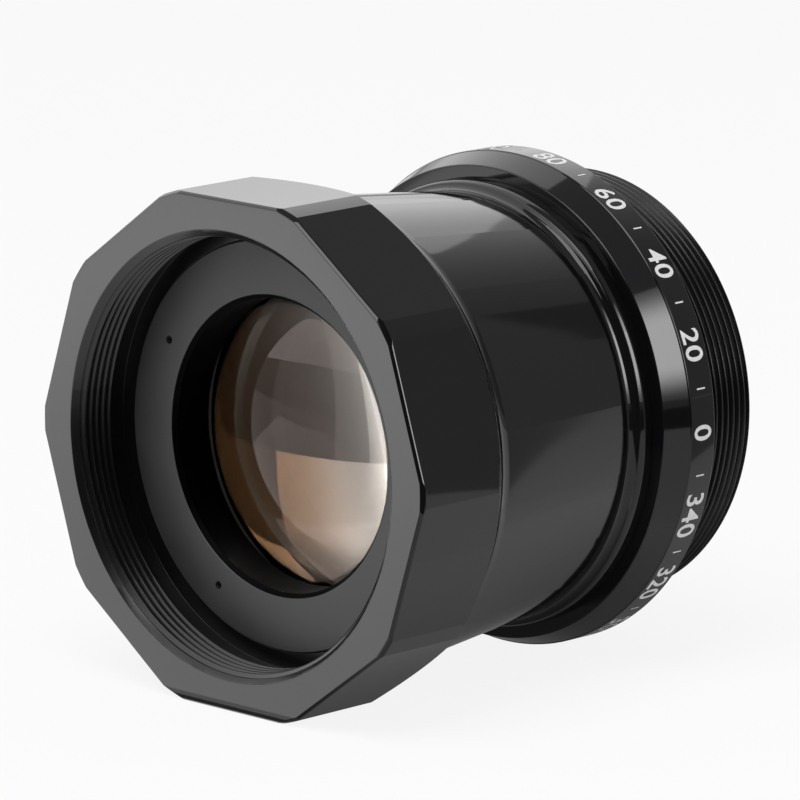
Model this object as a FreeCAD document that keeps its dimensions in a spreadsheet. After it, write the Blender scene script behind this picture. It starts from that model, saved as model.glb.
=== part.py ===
import FreeCAD, Part
import math
import os
import Sketcher

# Focal reducer for a large telescope, in millimetres.
# The optical axis runs along +Y. The front face, which meets the telescope, lies at Y = 0
# and light leaves towards +Y. Z is up, and one flat of the grip faces straight down.

SIZES = [
    # name, value, what it is
    ("grip_flats", 10, "number of flats milled on the grip"),
    ("grip_across_flats", 97.0, "grip, measured across opposite flats"),
    ("grip_round", 100.8, "diameter of the round stock left at the grip's corners"),
    ("grip_length", 22.4, "front face to the rear end of the grip"),
    ("grip_front_break", 1.0, "axial length of the conical break at the front corners"),
    ("grip_front_face", 99.6, "diameter of the front face at the corners"),
    ("grip_rear_break", 2.2, "axial length of the conical break at the rear corners"),
    ("grip_rear_rim", 96.8, "diameter where the rear break meets the swept fillet"),
    ("flat_edge_break", 0.5, "45 degree break along the front edge of each flat"),
    ("sweep_end", 28.2, "place where the swept fillet runs out on the barrel"),
    ("barrel_taper", 5.87, "half angle of the tapered barrel, in degrees"),
    ("barrel_rear", 64.0, "place of the barrel's rear end"),
    ("barrel_rear_diameter", 83.2, "barrel diameter at its rear end"),
    ("land_diameter", 86.7, "shoulder land between barrel and flange"),
    ("land_front", 65.9, "front edge of the land's bevel"),
    ("land_bevel_depth", 0.5, "depth of the bevel that leads up to the land"),
    ("land_bevel_length", 1.4, "length of the bevel that leads up to the land"),
    ("joint_place", 69.2, "joint between barrel and rear adapter"),
    ("spigot_diameter", 83.8, "threaded spigot that carries the rear adapter"),
    ("spigot_end", 78.0, "rear end of the spigot"),
    ("port_thread", 83.566, "major diameter of the 3.290 inch port thread"),
    ("thread_clearance", 0.06, "diametral play of each thread"),
    ("mouth_diameter", 85.2, "front bore where its break meets the front face"),
    ("front_thread_end", 9.2, "end of the female port thread"),
    ("relief_diameter", 84.9, "thread relief behind the female thread"),
    ("recess_depth", 13.5, "front face to the floor of the recess"),
    ("ring_front", 13.1, "front face of the front retaining ring"),
    ("ring_diameter", 78.2, "outside of the front retaining ring"),
    ("ring_opening", 57.6, "opening of the front ring at its front face"),
    ("ring_bevel", 0.9, "bevel of the front ring's opening"),
    ("ring_edge_break", 0.3, "break on the ring's outer edge"),
    ("ring_seat", 24.0, "shoulder on which the front ring bottoms"),
    ("ring_seal_face", 22.0, "inner rear face of the front ring, which presses the seal"),
    ("ring_seal_outside", 66.4, "outside of that inner rear face"),
    ("spanner_circle", 66.8, "circle of the front ring's spanner holes"),
    ("spanner_hole", 1.6, "diameter of a spanner hole"),
    ("spanner_depth", 2.5, "depth of a spanner hole"),
    ("spanner_angle", 61.0, "angle of the first spanner hole above +X"),
    ("spanner_holes", 4, "spanner holes in each ring"),
    ("seal_section", 1.6, "section of both seals"),
    ("seal_squeeze", 0.02, "how far a seal stands clear of hard faces"),
    ("front_cell", 65.2, "diameter of the three front lenses"),
    ("rear_cell", 61.0, "diameter of the two rear lenses"),
    ("cell_clearance", 0.1, "diametral play of lenses and spacers in their bores"),
    ("cement_gap", 0.02, "cement film of the doublet"),
    ("front_lens_place", 14.6, "front vertex of the front lens"),
    ("front_lens_bend", 55.0, "front radius of the front lens"),
    ("front_lens_back", 31.0, "rear vertex of the front lens"),
    ("front_lens_back_bend", 240.0, "hollow rear radius of the front lens"),
    ("front_lens_rim", 32.9, "rear rim of the front lens"),
    ("crown_place", 31.7, "front vertex of the doublet"),
    ("crown_bend", 95.0, "front radius of the doublet"),
    ("cement_place", 42.7, "vertex of the cemented face"),
    ("cement_bend", 200.0, "radius of the cemented face"),
    ("flint_back", 45.2, "rear vertex of the doublet"),
    ("flint_back_bend", 90.0, "hollow rear radius of the doublet"),
    ("front_seat", 48.4, "seat of the front group"),
    ("throat_diameter", 51.0, "opening between the two groups"),
    ("rear_seat", 56.0, "seat of the rear group"),
    ("fourth_place", 58.7, "front vertex of the fourth lens"),
    ("fourth_bend", 120.0, "hollow front radius of the fourth lens"),
    ("fourth_back", 63.7, "rear vertex of the fourth lens"),
    ("fourth_back_bend", 150.0, "rear radius of the fourth lens"),
    ("rear_lens_place", 64.6, "front vertex of the rear lens"),
    ("rear_lens_bend", 100.0, "front radius of the rear lens"),
    ("rear_lens_back", 71.4, "flat rear face of the rear lens"),
    ("front_spacer_opening", 59.0, "opening of the front spacer"),
    ("rear_spacer_opening", 55.0, "opening of the rear spacer"),
    ("rear_ring_front", 71.6, "front face of the rear ring"),
    ("rear_ring_back", 76.0, "rear face of the rear ring"),
    ("rear_ring_diameter", 63.4, "outside of the rear ring"),
    ("rear_ring_opening", 55.2, "opening of the rear ring"),
    ("rear_ring_seal_step", 1.4, "depth of the rear ring's seal step"),
    ("rear_ring_seal_outside", 60.4, "outside of the rear ring's seal step"),
    ("rear_spanner_circle", 59.6, "circle of the rear ring's spanner holes"),
    ("rear_bore_start", 70.8, "front end of the rear ring's bore"),
    ("rear_bore_flare", 1.5, "break at the mouth of the barrel's rear bore"),
    ("flange_front_diameter", 91.9, "flange where its front annulus ends"),
    ("flange_edge_break", 0.2, "break on the flange's front and rear edges"),
    ("cone_end", 74.6, "rear end of the conical band"),
    ("cone_diameter", 95.7, "conical band at its rear end"),
    ("band_diameter", 96.2, "cylindrical band that carries the figures"),
    ("shoulder_place", 81.3, "rear shoulder of the flange"),
    ("neck_relief_diameter", 81.2, "relief between shoulder and male thread"),
    ("undercut_diameter", 84.4, "outer edge of the undercut in the shoulder"),
    ("undercut_depth", 0.3, "depth of the undercut in the shoulder"),
    ("neck_thread_start", 83.9, "start of the male port thread"),
    ("overall_length", 98.9, "front face to the end of the male thread"),
    ("neck_end_break", 0.8, "break at the end of the male thread"),
    ("neck_bore", 76.0, "bore of the rear adapter"),
    ("spigot_gap", 0.1, "gap between the spigot's end and the adapter's inner shoulder"),
]

doc = FreeCAD.newDocument("focal_reducer")
sheet = doc.addObject("Spreadsheet::Sheet", "sizes")
for row, (name, value, meaning) in enumerate(SIZES, start=1):
    sheet.set(f"A{row}", name)
    sheet.set(f"B{row}", str(value))
    sheet.set(f"C{row}", meaning)
    sheet.setAlias(f"B{row}", name)
doc.recompute()

ALONG_AXIS = FreeCAD.Rotation(FreeCAD.Vector(1, 0, 0), -90)
ORIGIN_POINT = -1
START, END = 1, 2


def half(name):
    """Radius of the piece whose diameter the sheet names."""
    return f"sizes.{name} / 2"


def at(name):
    """Size that the sheet names."""
    return f"sizes.{name}"


def number(expression):
    """Value of an expression on the sheet."""
    return float(sheet.evalExpression(expression))


def new_body(label):
    body = doc.addObject("PartDesign::Body", label)
    body.Label = label
    return body


def sketch_on(body, name, plane):
    """Sketch on one of the body's own origin planes."""
    sketch = body.newObject("Sketcher::SketchObject", name)
    roles = {feature.Role: feature for feature in body.Origin.OriginFeatures}
    sketch.AttachmentSupport = [(roles[plane], "")]
    sketch.MapMode = "FlatFace"
    return sketch


def bind(sketch, constraint, expression):
    """Adds a dimension whose value follows the sheet."""
    index = sketch.addConstraint(constraint)
    sketch.setExpression(f"Constraints[{index}]", expression)


class Outline:
    """Closed outline in a sketch whose X is the place along the axis and whose Y is the radius."""

    def __init__(self, sketch, place, radius):
        self.sketch = sketch
        self.first = (place, radius)
        self.here = (place, radius)
        self.edges = []

    def _point(self, corner):
        return FreeCAD.Vector(number(corner[0]), number(corner[1]), 0)

    def _add(self, edge, end, corner, join):
        """Joins an edge to the one before it and pins the corner that it reaches."""
        index = self.sketch.addGeometry(edge)
        start = START if end == END else END
        if self.edges:
            before, before_end = self.edges[-1]
            self.sketch.addConstraint(
                Sketcher.Constraint(join, before, before_end, index, start))
        else:
            self._pin(index, start, self.first)
        self._pin(index, end, corner)
        self.edges.append((index, end))

    def _pin(self, index, end, corner):
        along = number(corner[0])
        radius = number(corner[1])
        constraint = Sketcher.Constraint("DistanceX", ORIGIN_POINT, START, index, end, along)
        bind(self.sketch, constraint, corner[0])
        constraint = Sketcher.Constraint("DistanceY", ORIGIN_POINT, START, index, end, radius)
        bind(self.sketch, constraint, corner[1])

    def line(self, place, radius, join="Coincident"):
        """Straight edge to a corner."""
        corner = (place, radius)
        edge = Part.LineSegment(self._point(self.here), self._point(corner))
        self._add(edge, END, corner, join)
        self.here = corner

    def hollow(self, place, radius, slope, join):
        """Hollow arc to a corner, tangent to the barrel's slope at one of its two ends."""
        start = self._point(self.here)
        finish = self._point((place, radius))
        tangent_end, other_end = (start, finish) if join == "Tangent" else (finish, start)
        outward = FreeCAD.Vector(math.sin(slope), math.cos(slope), 0)
        chord = other_end - tangent_end
        bend = chord.Length ** 2 / (2 * chord.dot(outward))
        centre = tangent_end + outward * bend
        middle = centre - (centre - (start + finish) / 2).normalize() * bend
        circle_arc = Part.ArcOfCircle(start, middle, finish)
        ends_last = circle_arc.EndPoint.distanceToPoint(finish) < 1e-6
        self._add(circle_arc, END if ends_last else START, (place, radius), join)
        self.here = (place, radius)

    def close(self):
        """Last edge, back to the first corner."""
        start = self._point(self.here)
        index = self.sketch.addGeometry(Part.LineSegment(start, self._point(self.first)))
        before, before_end = self.edges[-1]
        first, first_end = self.edges[0]
        first_start = START if first_end == END else END
        self.sketch.addConstraint(
            Sketcher.Constraint("Coincident", before, before_end, index, START))
        self.sketch.addConstraint(
            Sketcher.Constraint("Coincident", index, END, first, first_start))


def turn(body, kind, sketch):
    """Turns a sketch once round the optical axis."""
    feature = body.newObject(kind, sketch.Name + "_turned")
    feature.Profile = sketch
    feature.ReferenceAxis = (sketch, ["H_Axis"])
    feature.Angle = 360
    doc.recompute()
    return feature


def turned_ring(label, corners):
    """Body turned from a straight-edged outline."""
    body = new_body(label)
    sketch = sketch_on(body, label + "_section", "YZ_Plane")
    outline = Outline(sketch, *corners[0])
    for corner in corners[1:]:
        outline.line(*corner)
    outline.close()
    turn(body, "PartDesign::Revolution", sketch)
    return body


def pattern_round_axis(body, feature, count):
    """Repeats a feature evenly round the optical axis."""
    pattern = body.newObject("PartDesign::PolarPattern", feature.Name + "_pattern")
    pattern.Originals = [feature]
    roles = {item.Role: item for item in body.Origin.OriginFeatures}
    pattern.Axis = (roles["Y_Axis"], [""])
    pattern.Angle = 360
    pattern.setExpression("Occurrences", count)
    body.Tip = pattern
    doc.recompute()
    return pattern


def cuts(body, before):
    """Confirms that a cut has taken material away."""
    doc.recompute()
    if body.Shape.Volume >= before - 1.0:
        raise RuntimeError(f"nothing was cut from {body.Label}")


def spanner_holes(body, face_place, circle, from_front):
    """Blind pin-spanner holes in one face of a ring."""
    sketch = sketch_on(body, body.Label + "_hole_centre", "XZ_Plane")
    sketch.AttachmentOffset = FreeCAD.Placement()
    sketch.setExpression("AttachmentOffset.Base.z", f"-({face_place})")
    radius = number(at("spanner_hole")) / 2
    reach = number(half(circle))
    angle = math.radians(number(at("spanner_angle")))
    centre = FreeCAD.Vector(reach * math.cos(angle), reach * math.sin(angle), 0)
    hole = sketch.addGeometry(Part.Circle(centre, FreeCAD.Vector(0, 0, 1), radius))
    cosine = f"{half(circle)} * cos(sizes.spanner_angle * 1deg)"
    sine = f"{half(circle)} * sin(sizes.spanner_angle * 1deg)"
    bind(sketch, Sketcher.Constraint("DistanceX", ORIGIN_POINT, START, hole, 3, centre.x), cosine)
    bind(sketch, Sketcher.Constraint("DistanceY", ORIGIN_POINT, START, hole, 3, centre.y), sine)
    bind(sketch, Sketcher.Constraint("Diameter", hole, 2 * radius), at("spanner_hole"))
    doc.recompute()
    before = body.Shape.Volume
    pocket = body.newObject("PartDesign::Pocket", body.Label + "_spanner_hole")
    pocket.Profile = sketch
    pocket.Type = "Length"
    pocket.setExpression("Length", at("spanner_depth"))
    pocket.Reversed = not from_front
    pattern_round_axis(body, pocket, at("spanner_holes"))
    cuts(body, before)


def sag(bend, reach):
    """Expression for how far a spherical face falls back at a given radius."""
    return f"({bend} - sqrt(({bend}) ^ 2 - ({reach}) ^ 2))"


def glass_blank(name, front, back, diameter):
    """Round blank of glass, bored by nothing, lying along the axis."""
    blank = doc.addObject("Part::Cylinder", name)
    blank.Placement = FreeCAD.Placement(FreeCAD.Vector(0, 0, 0), ALONG_AXIS)
    blank.setExpression("Placement.Base.y", front)
    blank.setExpression("Height", f"({back}) - ({front})")
    blank.setExpression("Radius", half(diameter))
    return blank


def polishing_sphere(name, vertex, bend, centre_behind):
    """Sphere whose surface passes the axis at the vertex."""
    ball = doc.addObject("Part::Sphere", name)
    ball.Placement = FreeCAD.Placement(FreeCAD.Vector(0, 0, 0), ALONG_AXIS)
    sign = "+" if centre_behind else "-"
    ball.setExpression("Placement.Base.y", f"{vertex} {sign} {bend}")
    ball.setExpression("Radius", bend)
    return ball


def domed(name, blank, ball):
    """Keeps the glass inside the sphere, which leaves a domed face."""
    lens = doc.addObject("Part::Common", name)
    lens.Base = blank
    lens.Tool = ball
    return lens


def hollowed(name, blank, ball):
    """Takes the sphere out of the glass, which leaves a hollow face."""
    lens = doc.addObject("Part::Cut", name)
    lens.Base = blank
    lens.Tool = ball
    return lens


# Barrel: turned outside.
taper = math.radians(number(at("barrel_taper")))
sweep_radius = ("sizes.barrel_rear_diameter / 2"
                " + (sizes.barrel_rear - sizes.sweep_end) * tan(sizes.barrel_taper * 1deg)")
barrel = new_body("barrel")
outside = sketch_on(barrel, "barrel_outside", "YZ_Plane")
outline = Outline(outside, "0", "0")
outline.line("0", half("grip_front_face"))
outline.line(at("grip_front_break"), half("grip_round"))
outline.line("sizes.grip_length - sizes.grip_rear_break", half("grip_round"))
outline.line(at("grip_length"), half("grip_rear_rim"))
outline.hollow(at("sweep_end"), sweep_radius, taper, "Coincident")
outline.line(at("barrel_rear"), half("barrel_rear_diameter"), "Tangent")
land_edge_radius = "sizes.land_diameter / 2 - sizes.land_bevel_depth"
outline.hollow(at("land_front"), land_edge_radius, taper, "Tangent")
outline.line("sizes.land_front + sizes.land_bevel_length", half("land_diameter"))
outline.line(at("joint_place"), half("land_diameter"))
outline.line(at("joint_place"), half("spigot_diameter"))
outline.line(at("spigot_end"), half("spigot_diameter"))
outline.line(at("spigot_end"), "0")
outline.close()
turn(barrel, "PartDesign::Revolution", outside)

# Barrel: bored from the front for the telescope, the ring and the front group.
bore_start = "-1"
front_bore = sketch_on(barrel, "barrel_front_bore", "YZ_Plane")
front_thread_radius = f"({at('port_thread')} + {at('thread_clearance')}) / 2"
mouth_end = f"{half('mouth_diameter')} - {front_thread_radius}"
relief_slope = f"{half('relief_diameter')} - {front_thread_radius}"
ring_bore_radius = f"({at('ring_diameter')} + {at('thread_clearance')}) / 2"
front_cell_radius = f"({at('front_cell')} + {at('cell_clearance')}) / 2"
outline = Outline(front_bore, bore_start, "0")
outline.line(bore_start, f"{half('mouth_diameter')} + 1")
outline.line(mouth_end, front_thread_radius)
outline.line(at("front_thread_end"), front_thread_radius)
outline.line(f"{at('front_thread_end')} + {relief_slope}", half("relief_diameter"))
outline.line(at("recess_depth"), half("relief_diameter"))
outline.line(at("recess_depth"), ring_bore_radius)
outline.line(at("ring_seat"), ring_bore_radius)
outline.line(at("ring_seat"), front_cell_radius)
outline.line(at("front_seat"), front_cell_radius)
outline.line(at("front_seat"), half("throat_diameter"))
outline.line(at("rear_seat"), half("throat_diameter"))
outline.line(at("rear_seat"), "0")
outline.close()
volume = barrel.Shape.Volume
turn(barrel, "PartDesign::Groove", front_bore)
cuts(barrel, volume)

# Barrel: bored from the rear for the rear group and its ring.
rear_bore = sketch_on(barrel, "barrel_rear_bore", "YZ_Plane")
rear_cell_radius = f"({at('rear_cell')} + {at('cell_clearance')}) / 2"
rear_ring_bore_radius = f"({at('rear_ring_diameter')} + {at('thread_clearance')}) / 2"
outline = Outline(rear_bore, at("rear_seat"), "0")
outline.line(at("rear_seat"), rear_cell_radius)
outline.line(at("rear_bore_start"), rear_cell_radius)
outline.line(at("rear_bore_start"), rear_ring_bore_radius)
outline.line("sizes.spigot_end - sizes.rear_bore_flare", rear_ring_bore_radius)
outline.line("sizes.spigot_end", f"{rear_ring_bore_radius} + sizes.rear_bore_flare")
outline.line("sizes.spigot_end + 1", f"{rear_ring_bore_radius} + sizes.rear_bore_flare")
outline.line("sizes.spigot_end + 1", "0")
outline.close()
volume = barrel.Shape.Volume
turn(barrel, "PartDesign::Groove", rear_bore)
cuts(barrel, volume)

# Barrel: one flat of the grip with its broken front edge, then all ten.
# The rear break and the swept fillet make each flat run out in a shallow arc.
flat_cut = sketch_on(barrel, "grip_flat_section", "YZ_Plane")
flat_radius = half("grip_across_flats")
cutter_top = f"{half('grip_round')} + 5"
cutter_end = "sizes.grip_length + 3"
outline = Outline(flat_cut, "-1", f"{flat_radius} - sizes.flat_edge_break - 1")
outline.line(at("flat_edge_break"), flat_radius)
outline.line(cutter_end, flat_radius)
outline.line(cutter_end, cutter_top)
outline.line("-1", cutter_top)
outline.close()
doc.recompute()
volume = barrel.Shape.Volume
flat = barrel.newObject("PartDesign::Pocket", "grip_flat")
flat.Profile = flat_cut
flat.Type = "Length"
flat.Midplane = True
flat.setExpression("Length", at("grip_round"))
pattern_round_axis(barrel, flat, at("grip_flats"))
cuts(barrel, volume)

# Rear adapter: flange, printed band and male port thread, screwed on the barrel's spigot.
# The undercut lets a mating face pass the thread and sit flat on the shoulder.
neck_radius = f"({at('port_thread')} - {at('thread_clearance')}) / 2"
relief_run = f"{neck_radius} - {half('neck_relief_diameter')}"
spigot_bore = f"({at('spigot_diameter')} + {at('thread_clearance')}) / 2"
inner_shoulder = "sizes.spigot_end + sizes.spigot_gap"
undercut_floor = "sizes.shoulder_place - sizes.undercut_depth"
edge = at("flange_edge_break")
rear_adapter = turned_ring("rear_adapter", [
    (at("joint_place"), spigot_bore),
    (at("joint_place"), f"{half('flange_front_diameter')} - {edge}"),
    (f"{at('joint_place')} + {edge}", half("flange_front_diameter")),
    (at("cone_end"), half("cone_diameter")),
    (f"{at('cone_end')} + {edge}", half("band_diameter")),
    (f"{at('shoulder_place')} - {edge}", half("band_diameter")),
    (at("shoulder_place"), f"{half('band_diameter')} - {edge}"),
    (at("shoulder_place"), half("undercut_diameter")),
    (undercut_floor, half("undercut_diameter")),
    (undercut_floor, half("neck_relief_diameter")),
    (f"{at('neck_thread_start')} - ({relief_run})", half("neck_relief_diameter")),
    (at("neck_thread_start"), neck_radius),
    (f"{at('overall_length')} - {at('neck_end_break')}", neck_radius),
    (at("overall_length"), f"{neck_radius} - {at('neck_end_break')}"),
    (at("overall_length"), half("neck_bore")),
    (inner_shoulder, half("neck_bore")),
    (inner_shoulder, spigot_bore),
])

# Front retaining ring: bevelled opening, stepped rear that clears the seal.
opening_radius = f"{half('ring_opening')} - {at('ring_bevel')}"
front_ring = turned_ring("front_retaining_ring", [
    (f"{at('ring_front')} + {at('ring_bevel')}", opening_radius),
    (at("ring_front"), half("ring_opening")),
    (at("ring_front"), f"{half('ring_diameter')} - {at('ring_edge_break')}"),
    (f"{at('ring_front')} + {at('ring_edge_break')}", half("ring_diameter")),
    (at("ring_seat"), half("ring_diameter")),
    (at("ring_seat"), half("ring_seal_outside")),
    (at("ring_seal_face"), half("ring_seal_outside")),
    (at("ring_seal_face"), opening_radius),
])
spanner_holes(front_ring, at("ring_front"), "spanner_circle", True)

# Rear retaining ring.
rear_seal_face = f"{at('rear_ring_front')} + {at('rear_ring_seal_step')}"
rear_ring = turned_ring("rear_retaining_ring", [
    (at("rear_ring_front"), half("rear_ring_seal_outside")),
    (at("rear_ring_front"), half("rear_ring_diameter")),
    (at("rear_ring_back"), half("rear_ring_diameter")),
    (at("rear_ring_back"), f"{half('rear_ring_opening')} + {at('ring_edge_break')}"),
    (f"{at('rear_ring_back')} - {at('ring_edge_break')}", half("rear_ring_opening")),
    (rear_seal_face, half("rear_ring_opening")),
    (rear_seal_face, half("rear_ring_seal_outside")),
])
spanner_holes(rear_ring, at("rear_ring_back"), "rear_spanner_circle", False)

# Front group: a strongly domed lens, a spacer and a cemented pair.
blank = glass_blank("front_lens_blank", at("front_lens_place"), at("front_lens_rim"),
                    "front_cell")
ball = polishing_sphere("front_lens_dome", at("front_lens_place"), at("front_lens_bend"), True)
dome = domed("front_lens_front", blank, ball)
ball = polishing_sphere("front_lens_cup", at("front_lens_back"), at("front_lens_back_bend"),
                        True)
front_lens = hollowed("front_lens", dome, ball)

spacer_reach = half("front_spacer_opening")
crown_contact = f"{at('crown_place')} + {sag(at('crown_bend'), spacer_reach)}"
front_spacer = turned_ring("front_spacer", [
    (at("front_lens_rim"), spacer_reach),
    (at("front_lens_rim"), half("front_cell")),
    (crown_contact, half("front_cell")),
    (crown_contact, spacer_reach),
])

blank = glass_blank("crown_blank", at("crown_place"), at("cement_place"), "front_cell")
ball = polishing_sphere("crown_dome", at("crown_place"), at("crown_bend"), True)
dome = domed("crown_front", blank, ball)
ball = polishing_sphere("crown_cement_face", at("cement_place"), at("cement_bend"), False)
crown = domed("doublet_crown", dome, ball)

flint_vertex = f"({at('cement_place')} + {at('cement_gap')})"
flint_start = f"{at('cement_place')} - {sag(at('cement_bend'), half('front_cell'))}"
blank = glass_blank("flint_blank", flint_start, at("front_seat"), "front_cell")
ball = polishing_sphere("flint_cement_face", flint_vertex, at("cement_bend"), False)
cup = hollowed("flint_front", blank, ball)
ball = polishing_sphere("flint_cup", at("flint_back"), at("flint_back_bend"), True)
flint = hollowed("doublet_flint", cup, ball)

# Rear group: a bent lens, a spacer and a lens with a flat rear face.
blank = glass_blank("fourth_blank", at("rear_seat"), at("fourth_back"), "rear_cell")
ball = polishing_sphere("fourth_cup", at("fourth_place"), at("fourth_bend"), False)
cup = hollowed("fourth_front", blank, ball)
ball = polishing_sphere("fourth_dome", at("fourth_back"), at("fourth_back_bend"), False)
fourth_lens = domed("fourth_lens", cup, ball)

rear_reach = half("rear_spacer_opening")
fourth_contact = f"{at('fourth_back')} - {sag(at('fourth_back_bend'), rear_reach)}"
rear_contact = f"{at('rear_lens_place')} + {sag(at('rear_lens_bend'), rear_reach)}"
rear_spacer = turned_ring("rear_spacer", [
    (fourth_contact, rear_reach),
    (fourth_contact, half("rear_cell")),
    (rear_contact, half("rear_cell")),
    (rear_contact, rear_reach),
])

blank = glass_blank("rear_lens_blank", at("rear_lens_place"), at("rear_lens_back"),
                    "rear_cell")
ball = polishing_sphere("rear_lens_dome", at("rear_lens_place"), at("rear_lens_bend"), True)
rear_lens = domed("rear_lens", blank, ball)

# Seals: each touches its ring's step and the glass.
seal_reach = f"({at('seal_section')} / 2 + {at('seal_squeeze')})"
front_seal_place = f"({at('ring_seal_face')} + {seal_reach})"
dome_centre = f"({at('front_lens_place')} + {at('front_lens_bend')})"
front_seal_radius = (f"sqrt(({at('front_lens_bend')} + {seal_reach}) ^ 2"
                     f" - ({dome_centre} - {front_seal_place}) ^ 2)")
front_seal = doc.addObject("Part::Torus", "front_o_ring")
front_seal.Placement = FreeCAD.Placement(FreeCAD.Vector(0, 0, 0), ALONG_AXIS)
front_seal.setExpression("Placement.Base.y", front_seal_place)
front_seal.setExpression("Radius1", front_seal_radius)
front_seal.setExpression("Radius2", f"{at('seal_section')} / 2")

rear_seal = doc.addObject("Part::Torus", "rear_o_ring")
rear_seal.Placement = FreeCAD.Placement(FreeCAD.Vector(0, 0, 0), ALONG_AXIS)
rear_seal.setExpression("Placement.Base.y", f"{rear_seal_face} - {seal_reach}")
rear_seal.setExpression("Radius1", f"{half('rear_ring_seal_outside')} - {seal_reach}")
rear_seal.setExpression("Radius2", f"{at('seal_section')} / 2 - {at('seal_squeeze')}")

doc.recompute()

PIECES = [
    barrel, rear_adapter, front_ring, rear_ring, front_lens, front_spacer, crown, flint,
    fourth_lens, rear_spacer, rear_lens, front_seal, rear_seal,
]

for item in doc.Objects:
    if {"Invalid", "Error"} & set(item.State):
        raise RuntimeError(f"{item.Label} did not recompute: {item.State}")

os.makedirs("parts", exist_ok=True)
for piece in PIECES:
    shape = piece.Shape
    if shape.isNull() or not shape.isValid():
        raise RuntimeError(f"{piece.Label} has no sound shape")
    shape.exportStep(os.path.join("parts", piece.Label + ".step"))
    box = shape.BoundBox
    print(f"{piece.Label:22s} solids {len(shape.Solids)}  volume {shape.Volume:9.0f} mm3"
          f"  along the axis {box.YMin:6.2f} to {box.YMax:6.2f}  diameter {box.XLength:6.2f}")
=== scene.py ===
# %% [markdown]
# # A focal reducer, dressed for the studio
# The CAD model gives every piece its place. This script gives the pieces their finish: black
# anodised aluminium that mirrors the studio, a blasted ring, coated glass and white figures.
# Everything is in metres, in the CAD frame: the optical axis is +Y, the front face lies at
# y = 0, and one flat of the grip faces straight down.

# %% Load the frame
import math
import bpy
import numpy as np
from mathutils import Matrix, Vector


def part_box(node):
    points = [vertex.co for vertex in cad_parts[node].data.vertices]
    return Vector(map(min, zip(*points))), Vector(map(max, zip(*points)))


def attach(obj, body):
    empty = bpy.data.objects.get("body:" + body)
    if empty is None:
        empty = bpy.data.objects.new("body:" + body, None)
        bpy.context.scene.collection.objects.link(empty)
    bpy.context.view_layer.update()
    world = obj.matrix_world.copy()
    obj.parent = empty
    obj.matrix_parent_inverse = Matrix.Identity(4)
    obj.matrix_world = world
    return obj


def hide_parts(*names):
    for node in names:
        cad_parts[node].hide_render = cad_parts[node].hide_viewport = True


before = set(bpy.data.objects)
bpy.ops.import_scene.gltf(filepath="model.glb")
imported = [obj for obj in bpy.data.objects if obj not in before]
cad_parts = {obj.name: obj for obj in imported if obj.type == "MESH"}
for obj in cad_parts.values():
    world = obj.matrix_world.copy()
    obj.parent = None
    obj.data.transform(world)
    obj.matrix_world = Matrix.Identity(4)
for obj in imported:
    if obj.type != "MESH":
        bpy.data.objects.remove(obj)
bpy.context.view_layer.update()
MM = 0.001
for node in sorted(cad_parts):
    low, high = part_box(node)
    print(f"{node:22s} along the axis {low[1] / MM:6.2f} to {high[1] / MM:6.2f} mm")

# %% [markdown]
# ## The camera
# The photograph was taken with a long lens from about 1.4 m, so parallel edges barely converge.
# A camera is a place, a direction and a focal length. Its direction is given here as azimuth
# and elevation round the object, because those two numbers can be read off the picture.

# %% Place the camera
AZIMUTH = math.radians(44.506)
ELEVATION = math.radians(12.143)
DISTANCE = 1376.6 * MM
TARGET = np.array([0.0, 45.0, 0.0]) * MM
PICTURE_SIDE = 800
FOCAL_PIXELS = 7267.3
SENSOR = 36.0
CENTRE_RIGHT = 1.965
CENTRE_UP = 21.159

back = np.array([
    math.cos(ELEVATION) * math.sin(AZIMUTH),
    -math.cos(ELEVATION) * math.cos(AZIMUTH),
    math.sin(ELEVATION),
])
right = np.array([math.cos(AZIMUTH), math.sin(AZIMUTH), 0.0])
up = np.cross(back, right)

camera_data = bpy.data.cameras.new("camera")
camera = bpy.data.objects.new("camera", camera_data)
bpy.context.collection.objects.link(camera)
camera_data.sensor_width = SENSOR
camera_data.lens = FOCAL_PIXELS / PICTURE_SIDE * SENSOR
camera_data.shift_x = CENTRE_RIGHT / PICTURE_SIDE
camera_data.shift_y = CENTRE_UP / PICTURE_SIDE
camera_data.clip_start = 0.05
camera_data.clip_end = 30.0
turn = np.eye(4)
turn[:3, 0], turn[:3, 1], turn[:3, 2] = right, up, back
turn[:3, 3] = TARGET + back * DISTANCE
camera.matrix_world = Matrix(turn.tolist())
bpy.context.scene.camera = camera
bpy.context.scene.view_settings.view_transform = "Standard"
print("camera lens", round(camera_data.lens, 1), "mm, at", np.round(turn[:3, 3], 3))

# %% [markdown]
# ## Shader maths as Python
# A node tree is easier to read as an expression. This small class wraps one output socket, so
# that `0.2 + 0.1 * noise` adds the Math nodes by itself. Every other node comes from one method,
# which takes its type, its settings and what its sockets hold.

# %% Socket expressions
class Value:
    """One output socket that can be used in arithmetic."""

    def __init__(self, shader, socket):
        self.shader = shader
        self.socket = socket

    def _math(self, operation, a, b):
        return self.shader.node("ShaderNodeMath", {"operation": operation}, {0: a, 1: b})

    def __add__(self, other):
        return self._math("ADD", self, other)

    def __radd__(self, other):
        return self._math("ADD", other, self)

    def __sub__(self, other):
        return self._math("SUBTRACT", self, other)

    def __rsub__(self, other):
        return self._math("SUBTRACT", other, self)

    def __mul__(self, other):
        return self._math("MULTIPLY", self, other)

    def __rmul__(self, other):
        return self._math("MULTIPLY", other, self)

    def over(self, limit):
        """1 where the value is above the limit, otherwise 0."""
        return self._math("GREATER_THAN", self, limit)

    def root(self):
        """Square root of the value."""
        return self._math("SQRT", self, 0.0)


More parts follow.
